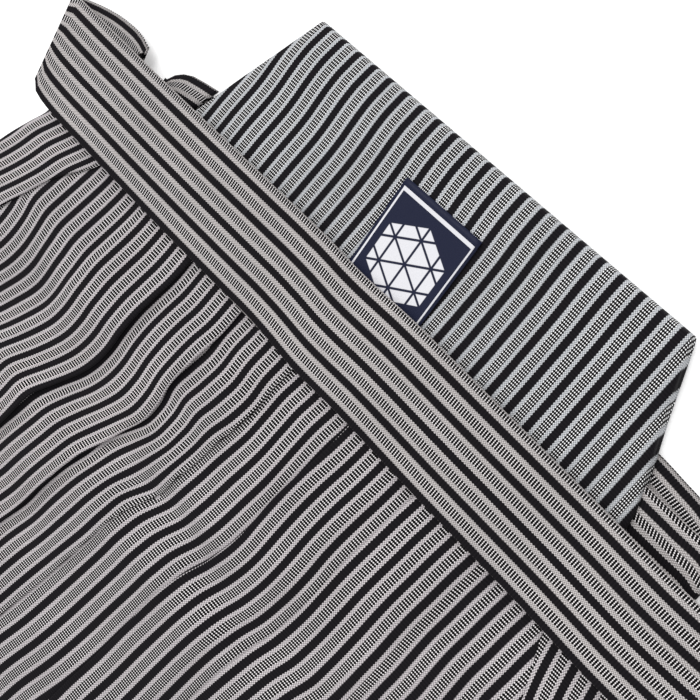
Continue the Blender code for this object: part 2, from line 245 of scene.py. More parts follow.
@dataclass(frozen=True)
class Crease:
    """A soft ridge, or a trough where height is below zero, laid from start to end."""

    start: tuple[float, float]
    end: tuple[float, float]
    height: float
    width: float

    def rise(self, x: Array, y: Array) -> Array:
        """Work out the height that the crease adds to the cloth.

        Args:
            x: places along the waist.
            y: places along the garment.

        Returns:
            The height at each place.
        """
        along = np.array(self.end) - np.array(self.start)
        length = float(np.hypot(*along))
        along = along / length
        t = ((x - self.start[0]) * along[0] + (y - self.start[1]) * along[1]) / length
        across = (x - self.start[0]) * along[1] - (y - self.start[1]) * along[0]
        bend = CREASE_BEND * np.sin(t * CREASE_WAVE + self.width)
        fade = (soft_step((t + CREASE_FADE) / (2 * CREASE_FADE))
                * soft_step((1 + CREASE_FADE - t) / (2 * CREASE_FADE)))
        return self.height * np.exp(-((across + bend) / self.width) ** 2) * fade


# The ridges and troughs that the photograph shows, then like ones lower on the legs
CREASES = [Crease(*row) for row in (
    ((-34, -79), (40, -86), -1.5, 6.0),
    ((-30, -68), (30, -70), 1.1, 7.0),
    ((-50, -100), (40, -104), 1.0, 9.0),
    ((-30, -81), (-14, -85), -1.3, 4.5),
    ((-120, -58), (-70, -66), -1.0, 9.0),
    ((-128, -40), (-72, -46), 0.9, 9.0),
    ((-110, -88), (-84, -94), 0.9, 7.0),
    ((-30, -24), (12, -30), 0.9, 8.0),
    ((-34, -46), (-8, -52), -0.9, 6.0),
    ((30, -60), (95, -56), 0.7, 12.0),
    ((34, -92), (84, -84), -0.9, 9.0),
    ((60, -118), (120, -100), 0.8, 11.0),
    ((-110, -130), (-40, -140), -0.8, 12.0),
    ((-190, -170), (-90, -190), 1.6, 12.0),
    ((-20, -170), (60, -176), 0.8, 12.0),
    ((70, -200), (170, -176), 1.5, 13.0),
    ((-150, -236), (-40, -250), 1.2, 15.0),
    ((20, -268), (150, -246), 1.4, 14.0),
    ((-280, -330), (-170, -350), 1.8, 16.0),
    ((-70, -360), (40, -342), 1.1, 16.0),
    ((90, -372), (200, -350), 1.6, 17.0),
    ((-230, -440), (-90, -430), 1.2, 20.0),
    ((30, -470), (190, -486), 1.5, 20.0),
    ((-330, -560), (-200, -535), 1.8, 20.0),
    ((-120, -580), (20, -600), 1.1, 22.0),
    ((70, -640), (230, -610), 1.5, 22.0),
    ((-310, -700), (-150, -720), 1.4, 24.0),
    ((-60, -740), (110, -722), 1.0, 24.0),
    ((120, -800), (260, -780), 1.3, 22.0),
    ((-340, -830), (-220, -815), 1.2, 22.0),
)]


def relief(x: Array, y: Array) -> Array:
    """Return the height of all creases together, faded out under the front himo and at the hem."""
    total = sum(crease.rise(x, y) for crease in CREASES)
    return total * soft_step((-y - CREASES_BEGIN) / CREASES_GROW) * soft_step((y - HEM) / HEM_FADE)


def linear(hex_colour: str) -> tuple[float, float, float, float]:
    """Turn an sRGB hex colour into the linear values that shaders take."""
    parts = [int(hex_colour[place:place + 2], 16) / 255 for place in (1, 3, 5)]
    return (*(p / 12.92 if p <= 0.04045 else ((p + 0.055) / 1.055) ** 2.4 for p in parts), 1.0)


def add_node(tree: NodeTree, kind: str, feeds: dict | None = None, **settings: object) -> Node:
    """Add a node to a material.

    Args:
        tree: the material's node tree.
        kind: the node's type name, without its ShaderNode prefix.
        feeds: by input name or number, a value, a socket or a node whose first output feeds it.
        **settings: properties of the node.

    Returns:
        The node.
    """
    node = tree.nodes.new("ShaderNode" + kind)
    for key, value in settings.items():
        setattr(node, key, value)
    for key, value in (feeds or {}).items():
        if isinstance(value, Node):
            value = value.outputs[0]
        if isinstance(value, NodeSocket):
            tree.links.new(value, node.inputs[key])
        else:
            node.inputs[key].default_value = value
    return node


def reckon(tree: NodeTree, operation: str, *values: object) -> Node:
    """Add one step of arithmetic on values, sockets or nodes, and return its node."""
    return add_node(tree, "Math", dict(enumerate(values)), operation=operation)


def span(tree: NodeTree, *values: object) -> Node:
    """Add a node that maps the first value from the range after it to the next one (0 to 1)."""
    return add_node(tree, "MapRange", dict(enumerate(values)))


def ramp(tree: NodeTree, level: Node, stops: list[tuple[float, str]]) -> Node:
    """Add a colour ramp to a material.

    Args:
        tree: the material's node tree.
        level: the node whose value runs along the ramp.
        stops: places from 0 to 1 with their hex colours.

    Returns:
        The ramp's node.
    """
    node = add_node(tree, "ValToRGB", {0: level})
    elements = node.color_ramp.elements
    while len(elements) < len(stops):
        elements.new(0.5)
    for element, (place, colour) in zip(elements, stops):
        element.position = place
        element.color = linear(colour)
    return node


def start_material(name: str, **sockets: object) -> tuple[Material, NodeTree, Node]:
    """Make a material with nodes.

    Args:
        name: the real material's name.
        **sockets: values of the shader's sockets, with _ for a space in their names.

    Returns:
        The material, its node tree and its shader.
    """
    material = bpy.data.materials.new(name)
    material.use_nodes = True
    shader = material.node_tree.nodes["Principled BSDF"]
    for socket, value in sockets.items():
        shader.inputs[socket.replace("_", " ")].default_value = value
    return material, material.node_tree, shader


@dataclass(frozen=True)
class StripedWeave:
    """Cotton blend yarns woven in stripes: dense black, roped pale grey, and checked black and white.

    The yarn-dyed face has a matt body with a faint nap, and the pale ropes stand a little proud.
    The weave reads the piece's own UV map: U counts repeats of the stripes from the middle of a
    black one, and V is millimetres along the threads. row is the real length of one row of the
    checks; the black and rope edges, the columns, nubs and slubs are shares of a repeat of 8 mm.
    """

    name: str
    black: str = "#111013"
    black_lit: str = "#19161a"
    rope: str = "#dcd6d7"
    rope_shade: str = "#6f696f"
    dot_dark: str = "#0a090a"
    dot_mid: str = "#5a5356"
    dot_light: str = "#fbf8f8"
    dot_limit: float = 0.3
    black_half: float = 0.167
    rope_end: float = 0.317
    column: float = 0.09
    column_share: float = 0.3
    row: float = 1.29
    nub: float = 0.016
    slub: float = 0.012
    black_blur: float = 0.01
    rope_blur: float = 0.012
    roughness: float = 0.82
    sheen: float = 0.02

    def make(self) -> Material:
        """Build the material.

        Returns:
            The material.
        """
        material, tree, shader = start_material(
            self.name, Roughness=self.roughness, Sheen_Weight=self.sheen, Sheen_Roughness=0.5,
            Specular_IOR_Level=0.08)
        weave = add_node(tree, "UVMap", uv_map="weave")
        slubs = add_node(tree, "TexNoise", {"Vector": weave, "Scale": 0.6, "Detail": 2.0})
        split = add_node(tree, "SeparateXYZ", {0: weave})
        wander = span(tree, slubs, 0.0, 1.0, -self.slub, self.slub)
        across = reckon(tree, "ADD", split, wander)
        turns = reckon(tree, "MULTIPLY", split.outputs[1], 2 * math.pi / self.row)
        nubs = reckon(tree, "COSINE", turns)
        apart = reckon(tree, "PINGPONG", across, 0.5)
        nubbed = reckon(tree, "MULTIPLY_ADD", nubs, self.nub, apart)
        pale = span(tree, nubbed, self.black_half - self.black_blur, self.black_half + self.black_blur)
        checked = span(tree, apart, self.rope_end - self.rope_blur, self.rope_end + self.rope_blur)

        columns = reckon(tree, "MULTIPLY", across, 2 * math.pi / self.column)
        shifted = reckon(tree, "ADD", columns, math.pi * (1 - 1 / self.column))
        between = reckon(tree, "COSINE", shifted)
        rungs = reckon(tree, "MULTIPLY", nubs, 1 - self.column_share)
        lattice = reckon(tree, "MULTIPLY_ADD", between, self.column_share, rungs)
        level = span(tree, lattice, -1.0, 1.0)
        dots = ramp(tree, level, [(0.0, self.dot_light), (self.dot_limit - 0.12, self.dot_light),
                                  (self.dot_limit, self.dot_mid), (self.dot_limit + 0.1, self.dot_dark),
                                  (1.0, self.dot_dark)])

        # The ropes' beads run from rope_shade to rope: the yarn's speckle, with painted shade between the
        # beads; the same level raises the beads in the bump
        beads = reckon(tree, "MULTIPLY", between, nubs)
        strand_level = span(tree, beads, -0.6, 0.6)
        rope = ramp(tree, strand_level, [(0.0, self.rope_shade), (1.0, self.rope)])

        # The black stripes run from black to black_lit along the rows of the weave: the rows' own pattern,
        # with painted sheen on the raised rows
        rib_sheen = span(tree, nubs, -1.0, 1.0)
        black = ramp(tree, rib_sheen, [(0.0, self.black), (1.0, self.black_lit)])

        light = add_node(tree, "Mix", {0: checked, 6: rope, 7: dots}, data_type="RGBA")
        stripes = add_node(tree, "Mix", {0: pale, 6: black, 7: light.outputs[2]}, data_type="RGBA")
        place = add_node(tree, "TexCoord")
        wear = add_node(tree, "TexNoise", {"Vector": place.outputs["Object"], "Scale": 38.0, "Detail": 3.0})
        shade = span(tree, wear, 0.3, 0.7, 0.93, 1.05)
        toned = add_node(tree, "HueSaturation", {"Value": shade, "Color": stripes.outputs[2]})
        tree.links.new(toned.outputs[0], shader.inputs["Base Color"])

        raised = reckon(tree, "MULTIPLY", pale, strand_level)
        height = reckon(tree, "MULTIPLY_ADD", pale, 0.8, raised)
        nap = add_node(tree, "TexNoise", {"Vector": place.outputs["Object"], "Scale": NAP_SCALE,
                                          "Detail": 1.0})
        napped = reckon(tree, "MULTIPLY_ADD", nap, 0.5, height)
        bump = add_node(tree, "Bump", {"Strength": 0.5, "Distance": 0.00012, "Height": napped})
        tree.links.new(bump.outputs[0], shader.inputs["Normal"])
        return material


@dataclass(frozen=True)
class LabelWeave:
    """Navy polyester satin with a white woven frame and hexagon of hemp-leaf lines.

    A damask label has a close, smooth face, so it is finer and a little glossier than the cloth.
    The UV map is millimetres from the middle of the hexagon. side_line and top_line are the place
    and half width of the frame's lines.
    """

    name: str = "navy_damask_label"
    navy: str = "#0f1329"
    navy_lit: str = "#191f3b"
    white: str = "#dbdbe0"
    hexagon: float = 12.4
    thread: float = 0.55
    side_line: tuple[float, float] = (15.5, 0.32)
    top_line: tuple[float, float] = (19.0, 0.7)
    corner: float = 15.8
    pick: float = 0.42
    end: float = 0.36
    roughness: float = 0.55

    def make(self) -> Material:
        """Build the material.

        Returns:
            The material.
        """
        material, tree, shader = start_material(
            self.name, Roughness=self.roughness, Sheen_Weight=0.02, Specular_IOR_Level=0.2)
        weave = add_node(tree, "UVMap", uv_map="weave")
        spokes = []
        for turn in range(3):
            angle = math.radians(60 * turn)
            direction = (math.cos(angle), math.sin(angle), 0.0)
            spokes.append(add_node(tree, "VectorMath", {0: weave, 1: direction}, operation="DOT_PRODUCT"))
        sizes = [reckon(tree, "ABSOLUTE", spoke.outputs["Value"]) for spoke in spokes]
        pair = reckon(tree, "MAXIMUM", sizes[0], sizes[1])
        reach = reckon(tree, "MAXIMUM", pair, sizes[2])
        inside = span(tree, reach, self.hexagon, self.hexagon + 0.2, 1.0, 0.0)
        waves = [reckon(tree, "PINGPONG", size, self.hexagon / 3) for size in sizes]
        near = reckon(tree, "MINIMUM", reckon(tree, "MINIMUM", waves[0], waves[1]), waves[2])
        lines = span(tree, near, self.thread * 0.6, self.thread * 0.9)
        motif = reckon(tree, "MULTIPLY", inside, lines)
        split = add_node(tree, "SeparateXYZ", {0: weave})
        rim = reckon(tree, "ABSOLUTE", split)
        side = reckon(tree, "COMPARE", rim, *self.side_line)
        top = reckon(tree, "COMPARE", split.outputs[1], *self.top_line)
        low = reckon(tree, "LESS_THAN", split.outputs[1], sum(self.top_line))
        narrow = reckon(tree, "LESS_THAN", rim, self.corner)
        sides = reckon(tree, "MULTIPLY", side, low)
        tops = reckon(tree, "MULTIPLY", top, narrow)
        frame_lines = reckon(tree, "MAXIMUM", sides, tops)
        white = reckon(tree, "MAXIMUM", motif, frame_lines)
        # The navy ground runs from navy to navy_lit over the grain of picks and ends: the weave's own
        # pattern, with painted sheen on the raised threads
        picks = reckon(tree, "MULTIPLY", split.outputs[1], 2 * math.pi / self.pick)
        ends = reckon(tree, "MULTIPLY", split, 2 * math.pi / self.end)
        grain = reckon(tree, "MULTIPLY", reckon(tree, "SINE", picks), reckon(tree, "SINE", ends))
        level = span(tree, grain, -1.0, 1.0)
        ground = ramp(tree, level, [(0.0, self.navy), (1.0, self.navy_lit)])
        colour = add_node(tree, "Mix", {0: white, 6: ground, 7: linear(self.white)}, data_type="RGBA")
        tree.links.new(colour.outputs[2], shader.inputs["Base Color"])
        height = reckon(tree, "MULTIPLY_ADD", white, 0.6, level)
        bump = add_node(tree, "Bump", {"Strength": 0.4, "Distance": 0.00008, "Height": height})
        tree.links.new(bump.outputs[0], shader.inputs["Normal"])
        return material


@dataclass(frozen=True)
class Piece:
    """What a dressed piece is called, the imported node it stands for, its slot and its finish."""

    name: str
    node: str
    slot: Slot
    finish: Material

    def dress(self, item: Object) -> Object:
        """Ride an object on the frame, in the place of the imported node.

        Args:
            item: the finished object.

        Returns:
            The same object.
        """
        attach(item, BODY)
        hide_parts(self.node)
        log.info("%s stands for %s", item.name, self.node)
        return item


def add_object(form: bmesh.types.BMesh, name: str, material: Material) -> Object:
    """Turn a finished form into a smooth object of the scene.

    Args:
        form: the form, which is freed.
        name: the object's name.
        material: its finish.

    Returns:
        The object.
    """
    mesh = bpy.data.meshes.new(name)
    form.to_mesh(mesh)
    form.free()
    mesh.shade_smooth()
    mesh.materials.append(material)
    item = bpy.data.objects.new(name, mesh)
    bpy.context.scene.collection.objects.link(item)
    return item


@dataclass
class Cloth:
    """A piece of cloth before it is made: the middle of its wall, and its place in the weave."""

    places: Array
    weave: Array

    def make(self, piece: Piece, wall: float = CLOTH_WALL) -> Object:
        """Make the mesh on a grid of points and dress it.

        Args:
            piece: what the cloth is called and made of.
            wall: its thickness, or 0 where the points are the face of a tube, whose last column is
                its first.

        Returns:
            The object, with its place in its mesh.
        """
        rows, columns = self.places.shape[:2]
        spots = self.places.reshape(-1, 3).copy()
        spots[:, :2] -= ORIGIN
        spots *= MM
        cloth = bmesh.new()
        bmesh.ops.create_grid(cloth, x_segments=columns - 1, y_segments=rows - 1, size=1.0)
        cloth.verts.ensure_lookup_table()
        for vert, spot in zip(cloth.verts, spots):
            vert.co = spot
        layer = cloth.loops.layers.uv.new("weave")
        marks = self.weave.reshape(-1, 2)
        for face in cloth.faces:
            for loop in face.loops:
                loop[layer].uv = marks[loop.vert.index]
        if not wall:
            bmesh.ops.remove_doubles(cloth, verts=cloth.verts, dist=WELD)
            ends = [edge for edge in cloth.edges if edge.is_boundary]
            bmesh.ops.holes_fill(cloth, edges=ends, sides=0)
        bmesh.ops.recalc_face_normals(cloth, faces=cloth.faces)
        item = add_object(cloth, piece.name, piece.finish)
        if wall:
            solid = item.modifiers.new("wall", "SOLIDIFY")
            solid.thickness = wall * MM
            solid.offset = 0.0
        return piece.dress(item)


def run_lengths(places: Array, guide: Array | None = None) -> Array:
    """Measure how far each point lies along the threads of the cloth.

    Args:
        places: the cloth's points, row by row.
        guide: a line down the cloth that evens out the rows; without it, their mean does.

    Returns:
        The lengths in millimetres.
    """
    steps = np.linalg.norm(np.diff(places, axis=0), axis=2)
    if guide is None:
        even = steps.mean(axis=1, keepdims=True)
    else:
        even = np.linalg.norm(np.diff(guide, axis=0), axis=1)[:, None]
    return np.vstack([np.zeros((1, places.shape[1])), np.cumsum((steps + even) / 2, axis=0)])


def panel_rows() -> Array:
    """Return the places of a front panel's rows, close together where creases are small."""
    upper = np.arange(FRONT_TOP, CLOSE_ROWS_END, -ROW_STEP)
    return np.concatenate([upper, np.linspace(upper[-1] - 5.0, HEM, LOWER_ROWS)])


# One stretch of a cross-section: distance from the centre line, height and place in the weave
Strip = tuple[Array, Array, Array]


@dataclass
class FrontPanel:
    """One front panel with its pleats folded in, from the waist to the hem.

    gape is how far a pleat's edge stands up at most and at least. The slope to a pleat's top layer
    ends slope_end, and that layer starts top_start, outside the hidden folds; the gaps keep a level
    stretch clear of the slope after it.
    """

    piece: Piece
    left: bool
    gape: tuple[float, float] = (1.3, 0.25)
    slope_end: float = 2.2
    top_start: float = 1.6
    outer_gap: float = 0.8
    inner_gap: float = 0.6
    ups: Array = field(default_factory=panel_rows)

    def __post_init__(self) -> None:
        """Read the tables' columns for this side, as distances outwards."""
        self.way = -1.0 if self.left else 1.0
        names = "side_l fold_l p1 p2 p3" if self.left else "side_r fold_r p5 p4 p3"
        self.edges = [self.way * LAYING.at(name, self.ups)[:, None] for name in names.split()]
        self.stripes = [(self.way * STRIPING.at(name, self.ups)[:, None],
                         STRIPING.at(name + "_step", self.ups)[:, None])
                        for name in ("abc" if self.left else "fed")]
        self.base = FRONT_MIDDLE + LAYING.at("lift", self.ups)[:, None]

    def depth(self, depths: tuple[float, float]) -> Array:
        """Return a pleat's hidden depth at each row."""
        share = (FRONT_TOP - self.ups) / (FRONT_TOP - HEM)
        return (depths[0] + (depths[1] - depths[0]) * share)[:, None]

    def gaping(self) -> Array:
        """Work out how far a pleat's edge stands up, most where the cloth bends.

        Returns:
            The height at each row.
        """
        most, least = self.gape
        high = sum(np.exp(-((self.ups - place) / reach) ** 2) for place, reach in GAPE_PLACES)
        return (least + (most - least) * np.clip(high, 0, 1))[:, None]

    @staticmethod
    def stretch(start: Array, end: Array, count: int, crowd: float = 1.0) -> Array:
        """Return count columns from start to end, crowded to the start if crowd is over 1.

        Args:
            start: the first column's distances.
            end: the last column's distances.
            count: how many columns.
            crowd: the power of the spacing; below 0, the columns crowd to the end instead.

        Returns:
            The distances, a column for each share of the way.
        """
        shares = np.linspace(0, 1, count)
        shares = shares ** crowd if crowd > 0 else 1 - (1 - shares) ** -crowd
        return start + (end - start) * shares[None, :]

    def pleat(self, edge: Array, depth: Array, gape: Array,
              stripes: tuple[Array, Array], whole: bool, pressed: float = 0.0) -> list[Strip]:
        """Fold one pleat, from the slope up to its top layer, round its edge and back under.

        Args:
            edge: the pleat's edge at each row, as a distance from the centre line.
            depth: how far the hidden folds reach.
            gape: how far the edge stands up off the cloth under it.
            stripes: the place of one black stripe and the distance to the next.
            whole: False where the cloth ends inside the pleat.
            pressed: how much closer the layers lie at the edge.

        Returns:
            The pleat's stretches, from outside to inside.
        """
        first, step = stripes
        turn = (LAYER - pressed) / 2
        top = self.base + 2 * LAYER
        angles = FOLD_ANGLES[None, :]
        rising = self.stretch(edge + depth + RAMP, edge + depth + self.slope_end, 6)
        share = soft_step((edge + depth + RAMP - rising) / (RAMP - self.slope_end))
        strips = [(rising, self.base + (top - self.base) * share, (rising - first) / step)]
        level = self.stretch(edge + depth + self.top_start, edge + turn, 15, -CROWD)
        lifted = (gape - 2 * pressed) * np.exp(-((level - edge) / GAPE_REACH) ** 2)
        strips.append((level, top + lifted, (level - first) / step))
        distance = edge + turn - turn * np.sin(angles)
        height = self.base + 1.5 * (LAYER - pressed) + gape + turn * np.cos(angles)
        at_edge = (edge - first) / step
        strips.append((distance, height, at_edge - angles * TURN_TAKES * turn / step))
        middle = self.stretch(edge + turn, edge + depth, 9, CROWD)
        lifted = (gape - pressed) * np.exp(-((middle - edge) / GAPE_REACH) ** 2)
        marks = at_edge - (math.pi * TURN_TAKES * turn + middle - edge) / step
        strips.append((middle, self.base + LAYER + lifted, marks))
        if whole:
            distance = edge + depth + turn * np.sin(angles)
            height = self.base + turn + turn * np.cos(angles)
            strips.append((distance, height, np.repeat(marks[:, -1:], 5, 1)))
            under = self.stretch(edge + depth, edge + TUCK + self.inner_gap, 4)
            marks = marks[:, -1:] - (edge + depth - under) / step
            strips.append((under, np.repeat(self.base, 4, 1), marks))
        return strips

    def level_part(self, start: Array, end: Array, count: int, stripes: tuple[Array, Array]) -> Strip:
        """Return a level stretch of the cloth between two distances."""
        distance = self.stretch(start, end, count)
        return distance, np.repeat(self.base, count, 1), (distance - stripes[0]) / stripes[1]

    def strips(self) -> list[Strip]:
        """Fold the whole cross-section of each row.

        Returns:
            Its stretches, from the side to the centre.
        """
        side, fold, outer, inner, centre = self.edges
        outer_depth, inner_depth, under = (self.depth(depths) for depths in
                                           (OUTER_DEPTH, INNER_DEPTH, CENTRE_DEPTH))
        first, second, third = self.stripes
        leaf = self.stretch(side, fold, 12)
        climbed = (side - leaf) / (side - fold + FOLD_MARGIN)
        height = BACK_MIDDLE + (self.base - BACK_MIDDLE) * climbed
        found = [(leaf, height, (leaf - first[0]) / first[1])]
        slope = outer + outer_depth + RAMP + self.outer_gap
        found.append(self.level_part(fold - FOLD_MARGIN, slope, 34, first))
        found += self.pleat(outer, outer_depth, self.gaping(), first, True)
        slope = inner + inner_depth + RAMP + self.inner_gap
        found.append(self.level_part(outer + TUCK, slope, 8, second))
        found += self.pleat(inner, inner_depth, self.gaping(), second, True)
        if self.left:
            slope = centre + under + RAMP + self.inner_gap
            found.append(self.level_part(inner + TUCK, slope, 8, third))
            found += self.pleat(centre, under, np.zeros_like(under), third, False, CENTRE_PRESSED)
        else:
            found.append(self.level_part(inner + TUCK, centre - under, 28, third))
        return found

    def build(self) -> None:
        """Make the panel."""
        distance, height, stripe = (np.hstack(parts) for parts in zip(*self.strips()))
        x = self.way * distance
        y = np.repeat(self.ups[:, None], x.shape[1], 1)
        places = np.stack([x, y, np.maximum(height + relief(x, y), BACK_MIDDLE)], axis=2)
        seam = LAYING.at("p3", self.ups)
        guide = np.stack([seam, self.ups, self.base[:, 0] + relief(seam, self.ups)], axis=1)
        weave = np.stack([stripe, run_lengths(places, guide)], axis=2)
        item = Cloth(places, weave).make(self.piece)


BACK_NAMES = {True: "back_left_cloth", False: "back_right_cloth"}


@dataclass
class SideLeaf:
    """The bamboo-leaf fold, the front's side edge turned back over it down to the slit.

    step is the distance from stripe to stripe, above the height over the panel, and the rim is the
    rounded turn at the side.
    """

    piece: Piece
    left: bool
    over: str
    step: float = 8.2
    above: float = 1.15
    rim_out: float = 0.6
    rim_down: float = 0.55

    def build(self) -> None:
        """Make the fold over its panel."""
        way = -1.0 if self.left else 1.0
        close = np.arange(FRONT_TOP, CLOSE_ROWS_END, -ROW_STEP)
        ups = np.concatenate([close, np.linspace(-216, SLIT_END, 16)])
        side = way * LAYING.at("side_l" if self.left else "side_r", ups)
        edge = way * LAYING.at("fold_l" if self.left else "fold_r", ups)
        base = FRONT_MIDDLE + LAYING.at("lift", ups)
        shares = np.linspace(0, 1, 22)[None, :]
        distance = side[:, None] + (edge - side)[:, None] * shares
        climbed = (side[:, None] - distance) / (side - edge + FOLD_MARGIN)[:, None]
        height = BACK_MIDDLE + (base - BACK_MIDDLE)[:, None] * climbed + self.above
        angles = FOLD_ANGLES[None, ::-1]
        rim = side[:, None] + self.rim_out * np.sin(angles)
        drop = height[:, :1] - self.rim_down + self.rim_down * np.cos(angles)
        distance = np.hstack([rim, distance])
        height = np.hstack([drop, height])
        x = way * distance
        y = np.repeat(ups[:, None], x.shape[1], 1)
        first = way * STRIPING.at("leaf_l" if self.left else "leaf_r", ups)
        count = (distance - first[:, None]) / self.step
        places = np.stack([x, y, height + relief(x, y)], axis=2)
        weave = np.stack([count, run_lengths(places)], axis=2)
        item = Cloth(places, weave).make(self.piece)


@dataclass
class BackPanel:
    """One back panel, flat on the surface from the board's base to the hem."""

    piece: Piece
    left: bool
    step: float = 9.0
    past_seam: float = 8.0
    seam_gap: float = 0.15

    def build(self) -> None:
        """Make the back."""
        way = -1.0 if self.left else 1.0
        ups = np.linspace(BACK_TOP, HEM, 90)
        centre = LAYING.at("p3", ups) + self.past_seam
        side = LAYING.at("back_l" if self.left else "back_r", ups)
        start = centre + way * self.seam_gap
        shares = np.linspace(0, 1, 28)[None, :]
        x = start[:, None] + (side - start)[:, None] * shares
        y = np.repeat(ups[:, None], x.shape[1], 1)
        places = np.stack([x, y, np.full_like(x, BACK_MIDDLE)], axis=2)
        weave = np.stack([(x - start[:, None]) * way / self.step, run_lengths(places)], axis=2)
        item = Cloth(places, weave).make(self.piece)


# One crossing of a strap: X and Y of its lower edge, X and Y of its upper edge, and its level in
# layers over the surface. A run is a row of them.
Run = list[tuple[float, float, float, float, float]]

# The tail's runs reach from near to far beside the waist, the topmost at the band's level, each
# slipped a little, and the last one ends short
TAIL_TOP = 6
TAIL_NEAR = 172.0
TAIL_FAR = 366.0
TAIL_END = 352.0
TAIL_EDGES = (4.9, 46.7)
TAIL_SLIP = 0.5

# Least length counted between two stations, and how deep a strap's edge is rounded, as a share of
# half its wall
STILL = 0.01
EDGE_ROUND = 0.9


@dataclass
class Himo:
    """A strap of cloth folded in layers, laid in runs with a fold between one run and the next.

    first_stripe and pitch place the stripes on its upper face, back_stripe and back_pitch on the
    lower one, over cut_width. along is the spacing of stations. A fanned strap's rows follow each
    edge's own length.
    """

    runs: list[Run]
    first_stripe: float
    pitch: float
    fold_ways: list[int]
    back_stripe: float = 1.7
    back_pitch: float = 6.4
    cut_width: float = 42.3
    along: float = 4.0
    fanned: bool = False

    def stations(self) -> Array:
        """Space stations closely along the whole strap, folds included.

        Returns:
            The stations, as rows of numbers.
        """
        rows: list[Array] = []
        for place, run in enumerate(self.runs):
            knots = np.array(run, float)
            if place:
                rows.append(self.fold(rows[-1][-1], knots[0], self.fold_ways[place - 1]))
            lower, upper = (np.hypot(*np.diff(knots[:, part:part + 2], axis=0).T) for part in (0, 2))
            gone = np.concatenate([[0], np.cumsum((lower + upper) / 2 + STILL)])
            places = np.linspace(0, gone[-1], max(3, int(gone[-1] / self.along)))
            curved = len(run) > 2
            rows.append(np.stack([eased(gone, values, places) if curved else np.interp(places, gone, values)
                                  for values in knots.T], axis=1))
        return np.vstack(rows)

    def fold(self, before: Array, after: Array, way: int) -> Array:
        """Turn the strap over between two runs.

        Args:
            before: the last station of one run.
            after: the first station of the next.
            way: 1 where the fold bulges along X, -1 where against it.

        Returns:
            The half turn's stations.
        """
        radius = HIMO_LAYER * abs(after[4] - before[4]) / 2
        turns = np.radians(np.linspace(18, 162, 9))
        mix = ((1 - np.cos(turns)) / 2)[:, None]
        found = before[None, :] + (after - before)[None, :] * mix
        reach = way * radius * np.sin(turns)
        found[:, 0] += reach
        found[:, 2] += reach
        return found

    def build(self, piece: Piece, rests_on: list[str]) -> None:
        """Make the strap as one soft-edged band.

        Args:
            piece: what it is called and made of.
            rests_on: names of the pieces that carry it; not used.
        """
        line = self.stations()
        heights = HIMO_WALL / 2 + HIMO_LAYER * line[:, 4]
        low, high = (np.column_stack([line[:, part:part + 2], heights]) for part in (0, 2))
        middle = (low + high) / 2
        ahead = np.gradient(middle, axis=0)
        across = high - low
        width = np.linalg.norm(across, axis=1)
        across = across / width[:, None]
        face = np.cross(ahead, across)
        face = face / np.maximum(np.linalg.norm(face, axis=1)[:, None], 1e-9)
        half = HIMO_WALL / 2
        rim = half * EDGE_ROUND
        angles = np.radians(np.linspace(90, 270, 7))
        inner = np.linspace(0, 1, 21)[1:-1]
        loop = [(0.0, rim + rim * math.cos(a), half * math.sin(a)) for a in angles]
        loop += [(share, 0.0, -half) for share in inner]
        loop += [(1.0, -rim - rim * math.cos(a + math.pi), half * math.sin(a + math.pi)) for a in angles]
        loop += [(share, 0.0, half) for share in inner[::-1]]
        loop.append(loop[0])
        columns = []
        marks = []
        for share, shift, rise in loop:
            away = share * (width - 2 * rim) + rim
            reach = away + (shift - rim if share == 0.0 else shift + rim if share == 1.0 else 0.0)
            columns.append(low + across * reach[:, None] + face * rise)
            first, pitch = ((self.first_stripe, self.pitch) if rise >= 0
                            else (self.back_stripe, self.back_pitch))
            marks.append((reach * self.cut_width / width - first) / pitch)
        places = np.stack(columns, axis=1)
        lengths = np.cumsum(np.concatenate([[0], np.linalg.norm(np.diff(middle, axis=0), axis=1)]))
        threads = run_lengths(places) if self.fanned else np.repeat(lengths[:, None], len(loop), 1)
        weave = np.stack([np.stack(marks, axis=1), threads], axis=2)
        item = Cloth(places, weave).make(piece, wall=0.0)


def tail_runs() -> list[Run]:
    """Fold the front himo's tail to and fro beside the waist, down to the surface.

    Returns:
        Its runs, from the topmost down.
    """
    runs = []
    for level in range(TAIL_TOP, -1, -1):
        outwards = level % 2 == 0
        start, end = (TAIL_NEAR, TAIL_FAR) if outwards else (TAIL_FAR, TAIL_NEAR)
        if level == 0:
            end = TAIL_END
        low, high = (edge + TAIL_SLIP * (level % 3 - 1) for edge in TAIL_EDGES)
        runs.append([(start, low, start, high, level), (end, low, end, high, level)])
    return runs


